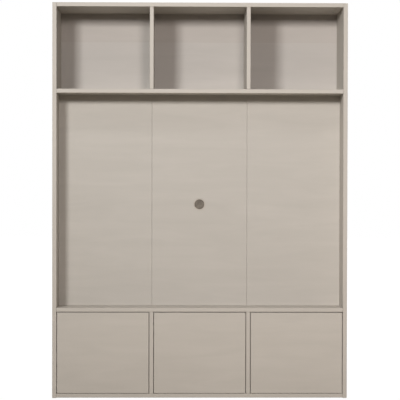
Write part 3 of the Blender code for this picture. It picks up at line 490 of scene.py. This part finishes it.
for word, sign in (("left", -1), ("right", 1)):
    for end, height in postSeat["z"].items():
        for pair, shift in (("outer", postSeat["spread"]), ("inner", -postSeat["spread"])):
            seats.append((f"{word}_post_screw_{end}_{pair}",
                          (sign * (postSeat["x"] + shift), postSeat["y"], height), (0, 1, 0), "cabinet"))
        seats.append((f"{word}_cleat_panel_screw_{end}", (sign * panelSeat["x"], postSeat["y"], height),
                      (0, 1, 0), "cabinet"))
    for end, height in sideSeat["z"].items():
        seats.append((f"{word}_cleat_side_screw_{end}", (sign * sideSeat["x"], sideSeat["y"], height),
                      (-sign, 0, 0), "cabinet"))
for name, seat, direction, body in seats:
    placeCopy(headPattern, name, facing(seat, direction), body)
bpy.data.objects.remove(headPattern)
print("screw heads set:", len(seats))

# Cam locks under the level boards draw the sides tight. Each is a casting, flush in its
# pocket, with a raised rim and a cross recess to turn it by. Its rim is picked to within the play.
camLock = {"radius": 0.0072, "below": 0.0003, "depth": 0.0132, "rim": 0.0011, "dish": 0.0006,
           "recessDepth": 0.0030, "recessLength": 0.0080, "recessWidth": 0.0014, "overcut": 0.0003,
           "rounding": 0.0003, "roundSegments": 3, "play": 0.0001, "sides": 32,
           "x": 0.743, "y": (-0.095, 0.0608)}
undersides = {"top": 2.123, "upper_shelf": 1.656, "niche_shelf": 0.470, "bottom": 0.004}
bpy.ops.object.select_all(action="DESELECT")
bpy.ops.mesh.primitive_cylinder_add(vertices=camLock["sides"], radius=camLock["radius"], depth=camLock["depth"],
                                    location=(0, 0, camLock["depth"] / 2))
camPattern = bpy.context.object
settle(camPattern)
bpy.ops.object.mode_set(mode="EDIT")
choose(camPattern, "FACE", lambda centre, normal: normal.z < -shaping["squarely"])
bpy.ops.mesh.inset(thickness=camLock["rim"])
bpy.ops.mesh.inset(thickness=camLock["dish"], depth=-camLock["dish"])
choose(camPattern, "EDGE", lambda a, b: max(a.z, b.z) < camLock["play"]
       and min(a.length, b.length) > camLock["radius"] - camLock["play"])
bpy.ops.mesh.bevel(offset=camLock["rounding"], segments=camLock["roundSegments"], affect="EDGES")
bpy.ops.object.mode_set(mode="OBJECT")
crossCut(camPattern, camLock["dish"] - camLock["overcut"], camLock["recessDepth"],
         camLock["recessLength"], camLock["recessWidth"])
settle(camPattern)
dress(camPattern, bareCasting)
camCount = 0
for board, level in undersides.items():
    for word, sign in (("left", -1), ("right", 1)):
        for place, depth in zip(("front", "rear"), camLock["y"]):
            placeCopy(camPattern, f"{board}_{word}_{place}_cam",
                      Matrix.Translation((sign * camLock["x"], depth, level + camLock["below"])), "cabinet")
            camCount += 1
bpy.data.objects.remove(camPattern)
print("cam locks set:", camCount)

# A push latch, moulded in grey: a plate under the shelf, a web with two ribs, and a barrel with
# a collar at its mouth. Drawn with the middle of the mouth at the origin.
latch = {"length": 0.0720, "barrelRadius": 0.0065, "waistRadius": 0.0059, "collar": 0.0080,
         "step": 0.0006, "endBand": 0.0040, "boreRadius": 0.0043, "boreDepth": 0.0430, "sides": 48,
         "webWidth": 0.0060, "webLow": 0.0046, "webInset": 0.0003,
         "plateWidth": 0.0300, "plateLow": 0.0117, "plateHigh": 0.0137, "corner": 0.0035, "cornerSegments": 6,
         "ribs": (0.0160, 0.0560), "ribWidth": 0.0220, "ribThickness": 0.0018, "ribTaper": 0.35,
         "screwAcross": 0.0108, "screwRadius": 0.0018, "screwTop": 0.0257, "screwSides": 16,
         "rounding": 0.00025, "mouth": 0.0253}
middlePlate = (latch["plateLow"] + latch["plateHigh"]) / 2
housingPattern = drawRound("latch", latch["sides"], 0, [
    (latch["boreRadius"], latch["boreDepth"]), (latch["boreRadius"], 0), (latch["barrelRadius"], 0),
    (latch["barrelRadius"], latch["collar"]), (latch["waistRadius"], latch["collar"] + latch["step"]),
    (latch["waistRadius"], latch["length"] - latch["endBand"] - latch["step"]),
    (latch["barrelRadius"], latch["length"] - latch["endBand"]), (latch["barrelRadius"], latch["length"])])
plate = block((-latch["plateWidth"] / 2, 0, latch["plateLow"]),
              (latch["plateWidth"] / 2, latch["length"], latch["plateHigh"]))
bpy.ops.object.mode_set(mode="EDIT")
choose(plate, "EDGE", lambda a, b: abs(a.z - b.z) > latch["step"])
bpy.ops.mesh.bevel(offset=latch["corner"], segments=latch["cornerSegments"], affect="EDGES")
bpy.ops.object.mode_set(mode="OBJECT")
web = block((-latch["webWidth"] / 2, latch["webInset"], latch["webLow"]),
            (latch["webWidth"] / 2, latch["length"] - latch["webInset"], middlePlate))
joinOn(housingPattern, web)
for place in latch["ribs"]:
    rib = block((-latch["ribWidth"] / 2, place - latch["ribThickness"] / 2, latch["webLow"]),
                (latch["ribWidth"] / 2, place + latch["ribThickness"] / 2, middlePlate))
    bpy.ops.object.mode_set(mode="EDIT")
    choose(rib, "FACE", lambda centre, normal: normal.z < -shaping["squarely"])
    bpy.ops.transform.resize(value=(latch["ribTaper"], 1, 1))
    bpy.ops.object.mode_set(mode="OBJECT")
    joinOn(housingPattern, rib)
joinOn(housingPattern, plate)
for sign in (-1, 1):
    bpy.ops.object.select_all(action="DESELECT")
    bpy.ops.mesh.primitive_cylinder_add(vertices=latch["screwSides"], radius=latch["screwRadius"],
                                        depth=latch["screwTop"] - middlePlate,
                                        location=(sign * latch["screwAcross"], latch["length"] / 2,
                                                  (latch["screwTop"] + middlePlate) / 2))
    shank = bpy.context.object
    settle(shank)
    joinOn(housingPattern, shank)
roundEdges(housingPattern, latch["rounding"], edgeRounding["segments"])
dress(housingPattern, greyAcetal)

# Its plunger, with a soft rounded tip that has a dimple in the middle.
plunger = {"radius": 0.0040, "tipRadius": 0.0029, "shoulder": 0.0036, "shoulderBack": 0.0003,
           "chamfer": 0.0010, "length": 0.0400, "dimpleRim": 0.0012, "dimple": 0.0003,
           "rounding": 0.00015, "sides": 40, "tip": 0.0203}
plungerPattern = drawRound("plunger", plunger["sides"], 0, [
    (plunger["tipRadius"], 0), (plunger["shoulder"], plunger["shoulderBack"]),
    (plunger["radius"], plunger["chamfer"]), (plunger["radius"], plunger["length"])])
onlyThis(plungerPattern)
bpy.ops.object.mode_set(mode="EDIT")
choose(plungerPattern, "FACE", lambda centre, normal: normal.y < -shaping["squarely"])
bpy.ops.mesh.inset(thickness=plunger["dimpleRim"])
bpy.ops.mesh.inset(thickness=plunger["dimple"], depth=-plunger["dimple"])
bpy.ops.object.mode_set(mode="OBJECT")
roundEdges(plungerPattern, plunger["rounding"], edgeRounding["segments"])
dress(plungerPattern, greyAcetal)
for door in doorSides:
    housing = placeCopy(housingPattern, f"{door}_door_latch_housing_moulded",
                        Matrix.Translation(spot(door, latchAcross, latch["mouth"], latchLevel)), "cabinet")
    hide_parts(f"{door}_door_latch_housing")
    pin = placeCopy(plungerPattern, f"{door}_door_latch_plunger_moulded",
                    Matrix.Translation(spot(door, latchAcross, plunger["tip"], latchLevel)),
                    f"{door}_plunger")
    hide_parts(f"{door}_door_latch_plunger")
bpy.data.objects.remove(housingPattern)
bpy.data.objects.remove(plungerPattern)
print("push latches set")

# The strike that a latch's plunger pushes on: a pressed disc in the door's back, held by a
# screw sunk in its middle.
strike = {"radius": 0.0067, "thickness": 0.0009, "rounding": 0.0003, "roundSegments": 3,
          "screwRadius": 0.0030, "sink": 0.0002, "recessDepth": 0.0005, "recessLength": 0.0036,
          "recessWidth": 0.0008, "sides": 40, "seat": 0.019}
bpy.ops.object.select_all(action="DESELECT")
bpy.ops.mesh.primitive_cylinder_add(vertices=strike["sides"], radius=strike["radius"],
                                    depth=strike["thickness"], location=(0, 0, strike["thickness"] / 2))
strikePattern = bpy.context.object
settle(strikePattern)
bpy.ops.object.mode_set(mode="EDIT")
choose(strikePattern, "EDGE", lambda a, b: min(a.z, b.z) > strike["thickness"] * shaping["nearTop"])
bpy.ops.mesh.bevel(offset=strike["rounding"], segments=strike["roundSegments"], affect="EDGES")
choose(strikePattern, "FACE", lambda centre, normal: normal.z > shaping["squarely"])
bpy.ops.mesh.inset(thickness=strike["radius"] - strike["rounding"] - strike["screwRadius"])
bpy.ops.mesh.inset(thickness=strike["sink"], depth=-strike["sink"])
bpy.ops.object.mode_set(mode="OBJECT")
crossCut(strikePattern, strike["thickness"], strike["thickness"] - strike["recessDepth"],
         strike["recessLength"], strike["recessWidth"])
settle(strikePattern)
dress(strikePattern, zincSteel)
for door in doorSides:
    placeCopy(strikePattern, f"{door}_strike_plate",
              facing(spot(door, latchAcross, strike["seat"], latchLevel), (0, 1, 0)), f"{door}_door_leaf")
bpy.data.objects.remove(strikePattern)
print("strike plates set")

# Two cheese-head screws on each hinge arm set the door's gap and depth.
adjuster = {"radius": 0.0031, "height": 0.0011, "rounding": 0.0003, "roundSegments": 3, "overcut": 0.0002,
            "recessFloor": 0.0004, "recessLength": 0.0040, "recessWidth": 0.0009, "sides": 24,
            "back": {"gap": 0.060, "depth": 0.077}, "face": 0.0125}
bpy.ops.object.select_all(action="DESELECT")
bpy.ops.mesh.primitive_cylinder_add(vertices=adjuster["sides"], radius=adjuster["radius"],
                                    depth=adjuster["height"], location=(0, 0, adjuster["height"] / 2))
adjusterPattern = bpy.context.object
settle(adjusterPattern)
bpy.ops.object.mode_set(mode="EDIT")
choose(adjusterPattern, "EDGE", lambda a, b: min(a.z, b.z) > adjuster["height"] * shaping["nearTop"])
bpy.ops.mesh.bevel(offset=adjuster["rounding"], segments=adjuster["roundSegments"], affect="EDGES")
bpy.ops.object.mode_set(mode="OBJECT")
crossCut(adjusterPattern, adjuster["height"] + adjuster["overcut"], adjuster["recessFloor"],
         adjuster["recessLength"], adjuster["recessWidth"])
settle(adjusterPattern)
dress(adjusterPattern, zincSteel)
for door, (side, hand) in doorSides.items():
    for level, height in hingeLevels.items():
        for word, back in adjuster["back"].items():
            placeCopy(adjusterPattern, f"{door}_{level}_{word}_screw",
                      facing(spot(door, adjuster["face"], back, height), (hand, 0, 0)), "cabinet")
bpy.data.objects.remove(adjusterPattern)
print("hinge adjusters set")

# The cable outlet in the niche: a stepped hole in the middle panel, a moulded ring let flush
# into it, and rows of bristles that close it round the cables.
outlet = {"height": 1.052, "face": -0.0097, "lipBack": -0.0077, "ringBack": 0.0060, "lipRadius": 0.0340,
          "ringRadius": 0.0297, "boreRadius": 0.0272, "rounding": 0.0007, "roundSegments": 4,
          "roundAbove": 50, "sides": 80,
          "seatRadius": 0.03435, "holeRadius": 0.03005, "seatBack": -0.00735, "cut": (-0.0110, 0.0090)}
cutter = drawRound("outlet_cut", outlet["sides"], outlet["height"], [
    (outlet["seatRadius"], outlet["cut"][0]), (outlet["seatRadius"], outlet["seatBack"]),
    (outlet["holeRadius"], outlet["seatBack"]), (outlet["holeRadius"], outlet["cut"][1])])
rounded("niche_panel_center", edgeRounding["board"], edgeRounding["segments"], cutter)
profile = [("boreRadius", "ringBack"), ("boreRadius", "face"), ("lipRadius", "face"),
           ("lipRadius", "lipBack"), ("ringRadius", "lipBack"), ("ringRadius", "ringBack"),
           ("boreRadius", "ringBack")]
ring = drawRound("cable_grommet_ring", outlet["sides"], outlet["height"],
                 [(outlet[radius], outlet[back]) for radius, back in profile])
applyModifier(ring, "BEVEL", {"limit_method": "ANGLE", "angle_limit": math.radians(outlet["roundAbove"]),
                              "width": outlet["rounding"], "segments": outlet["roundSegments"]})
settle(ring)
dress(ring, clayAbs)
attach(ring, "cabinet")
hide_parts("cable_grommet")

# Each row: how far back it stands, whether it hangs from the top (1) or stands up (-1), and its
# shift along in pitches.
bristle = {"radius": 0.00068, "tip": 0.00060, "pitch": 0.00105, "edge": 0.0273, "overlap": 0.0016,
           "sides": 6, "uneven": 0.4, "lean": 0.006,
           "lengthBeat": (1.7, 2.3), "leanBeat": 2.9,
           "rows": ((-0.0033, 1, 0.0), (-0.0022, -1, 0.5), (-0.0011, 1, 0.5), (0.0, -1, 0.0))}
bpy.ops.object.select_all(action="DESELECT")
bpy.ops.mesh.primitive_cone_add(vertices=bristle["sides"], radius1=bristle["radius"],
                                radius2=bristle["tip"], depth=1, location=(0, 0, 0.5))
bristlePattern = bpy.context.object
settle(bristlePattern)
dress(bristlePattern, brushNylon)
tufts = []
for row, (back, side, shift) in enumerate(bristle["rows"]):
    # a row starts at the edge of the bore and reaches a little past the middle
    for number in range(int(2 * bristle["edge"] / bristle["pitch"])):
        across = -bristle["edge"] + (number + 0.5 + shift) * bristle["pitch"]
        reach = math.sqrt(max(bristle["edge"] ** 2 - across ** 2, 0))
        if reach < bristle["overlap"]:
            continue
        wave = math.sin(number * bristle["lengthBeat"][0] + row * bristle["lengthBeat"][1])
        length = reach + bristle["overlap"] * (1 - bristle["uneven"] + bristle["uneven"] * wave)
        tuft = bpy.data.objects.new("tuft", bristlePattern.data.copy())
        bpy.context.scene.collection.objects.link(tuft)
        lean = math.radians(90 + 90 * side) + bristle["lean"] * math.sin(number * bristle["leanBeat"] + row)
        tuft.data.transform(Matrix.Translation((across, back, outlet["height"] + side * reach))
                            @ Matrix.Rotation(lean, 4, "Y") @ Matrix.Diagonal((1, 1, length, 1)))
        tufts.append(tuft)
bpy.data.objects.remove(bristlePattern)
bpy.ops.object.select_all(action="DESELECT")
for tuft in tufts:
    tuft.select_set(True)
brush = tufts[0]
bpy.context.view_layer.objects.active = brush
bpy.ops.object.join()
brush.name = "cable_grommet_brush"
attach(brush, "cabinet")
print("cable outlet made, tufts:", len(tufts))

studio = {
    "floorSize": 60.0,
    "floorColour": "#afa79b",   # what the floor throws back on the cabinet
    "floorRoughness": 0.8,
    "floorWhite": 1.05,         # the white that the camera sees on the floor
    "nearWhite": 0.94,          # its share near the cabinet, where the shadow shows through
    "shadowReach": (1.6, 3.2),  # how far from the middle that share starts to grow, and is 1
}
bpy.ops.object.select_all(action="DESELECT")
bpy.ops.mesh.primitive_plane_add(size=studio["floorSize"])
floor = bpy.context.object
floor.name = "floor"
material, tree, shader = newMaterial("paleStudioFloor", {"Base Color": srgb(studio["floorColour"]),
                                                         "Roughness": studio["floorRoughness"],
                                                         "Specular IOR Level": 0.0})
rays = addNode(tree, "ShaderNodeLightPath")
place = addNode(tree, "ShaderNodeTexCoord").outputs["Object"]
away = addNode(tree, "ShaderNodeVectorMath", {"operation": "LENGTH"}, {0: place})
lift = addNode(tree, "ShaderNodeMapRange",
               {"interpolation_type": "SMOOTHSTEP", "From Min": studio["shadowReach"][0],
                "From Max": studio["shadowReach"][1], "To Min": studio["nearWhite"], "To Max": 1.0},
               {"Value": away.outputs["Value"]})
white = addNode(tree, "ShaderNodeEmission", {"Strength": studio["floorWhite"]})
plain = addNode(tree, "ShaderNodeMath", {"operation": "ADD"}, {0: rays.outputs["Is Camera Ray"],
                                                               1: rays.outputs["Is Glossy Ray"]})
through = addNode(tree, "ShaderNodeMath", {"operation": "ADD", "use_clamp": True},
                  {0: plain.outputs["Value"], 1: rays.outputs["Is Transmission Ray"]})
seen = addNode(tree, "ShaderNodeMath", {"operation": "MULTIPLY"}, {0: through.outputs["Value"],
                                                                   1: lift.outputs["Result"]})
mixed = addNode(tree, "ShaderNodeMixShader", {}, {0: seen.outputs["Value"], 1: shader.outputs["BSDF"],
                                                  2: white.outputs["Emission"]})
tree.links.new(mixed.outputs["Shader"], tree.nodes["Material Output"].inputs["Surface"])
dress(floor, material)

world = bpy.data.worlds.new("whiteStudio")
bpy.context.scene.world = world
world.use_nodes = True
tree = world.node_tree
unlit = tree.nodes["Background"]
unlit.inputs["Strength"].default_value = 0.0    # the softboxes give all the light
backdrop = addNode(tree, "ShaderNodeBackground", {"Color": (1, 1, 1, 1), "Strength": 1.0})
rays = addNode(tree, "ShaderNodeLightPath")
either = addNode(tree, "ShaderNodeMath", {"operation": "ADD"}, {0: rays.outputs["Is Camera Ray"],
                                                                1: rays.outputs["Is Glossy Ray"]})
seen = addNode(tree, "ShaderNodeMath", {"operation": "ADD", "use_clamp": True},
               {0: either.outputs["Value"], 1: rays.outputs["Is Transmission Ray"]})
mixed = addNode(tree, "ShaderNodeMixShader", {}, {0: seen.outputs["Value"], 1: unlit.outputs["Background"],
                                                  2: backdrop.outputs["Background"]})
tree.links.new(mixed.outputs["Shader"], tree.nodes["World Output"].inputs["Surface"])

# Places and sizes in metres, power in watts, spread in degrees.
lamps = {
    "keySoftbox": {"place": (-1.98, -4.73, 2.81), "aim": (0.6, 0, 5.0), "size": 0.75, "power": 204,
                   "colour": "#ffffff", "spread": 180},
    # over the key, high up: lightens the tops of the shelves and the backs just above them
    "upperSoftbox": {"place": (-1.98, -4.73, 6.7), "aim": (0, 0, 1.2), "size": 1.0, "power": 70,
                     "colour": "#ffffff", "spread": 180},
    "fillSoftbox": {"place": (0.58, -5.80, 2.90), "aim": (1.2, 0, 0.5), "size": 0.75, "power": 44,
                    "colour": "#fff7f4", "spread": 90},
    # these four stand behind the fronts and light the back, the top and the sides alone
    "rearSoftbox": {"place": (1.2, 4.2, 4.0), "aim": (0, 0.1, 1.2), "size": 2.0, "power": 165,
                    "colour": "#ffffff", "spread": 180},
    "rightSoftbox": {"place": (5.0, 1.6, 2.6), "aim": (0.8, 0, 1.1), "size": 1.5, "power": 85,
                     "colour": "#ffffff", "spread": 180},
    "leftSoftbox": {"place": (-5.0, 1.6, 2.6), "aim": (-0.8, 0, 1.1), "size": 1.5, "power": 110,
                    "colour": "#ffffff", "spread": 180},
    "topSoftbox": {"place": (0, 0.9, 5.4), "aim": (0, 0, 2.1), "size": 1.0, "power": 8,
                   "colour": "#ffffff", "spread": 50},
}
for name, lamp in lamps.items():
    light = bpy.data.lights.new(name, "AREA")
    light.shape = "SQUARE"
    light.size = lamp["size"]
    light.energy = lamp["power"]
    light.color = srgb(lamp["colour"])[:3]
    light.spread = math.radians(lamp["spread"])
    holder = bpy.data.objects.new(name, light)
    bpy.context.scene.collection.objects.link(holder)
    holder.location = lamp["place"]
    holder.rotation_euler = (Vector(lamp["aim"]) - holder.location).to_track_quat("-Z", "Y").to_euler()

view = {
    "place": (-0.1527, -8.9093, 1.1178),
    "turn": 1.004,          # degrees to the right
    "tilt": -0.837,         # degrees up
    "roll": 0.111,          # degrees to the left
    "sensor": 36,           # mm
    "focal": 144.82,        # mm
    "shift": 0.04,
}
camera = bpy.data.objects.new("camera", bpy.data.cameras.new("camera"))
bpy.context.scene.collection.objects.link(camera)
camera.data.sensor_width = view["sensor"]
camera.data.lens = view["focal"]
camera.data.shift_y = view["shift"]
heading = Euler((math.radians(90 + view["tilt"]), 0, -math.radians(view["turn"]))).to_matrix()
turned = heading @ Matrix.Rotation(math.radians(view["roll"]), 3, "Z")
camera.matrix_world = Matrix.Translation(view["place"]) @ turned.to_4x4()
bpy.context.scene.camera = camera
bpy.context.scene.view_settings.view_transform = "Standard"
print("studio ready")
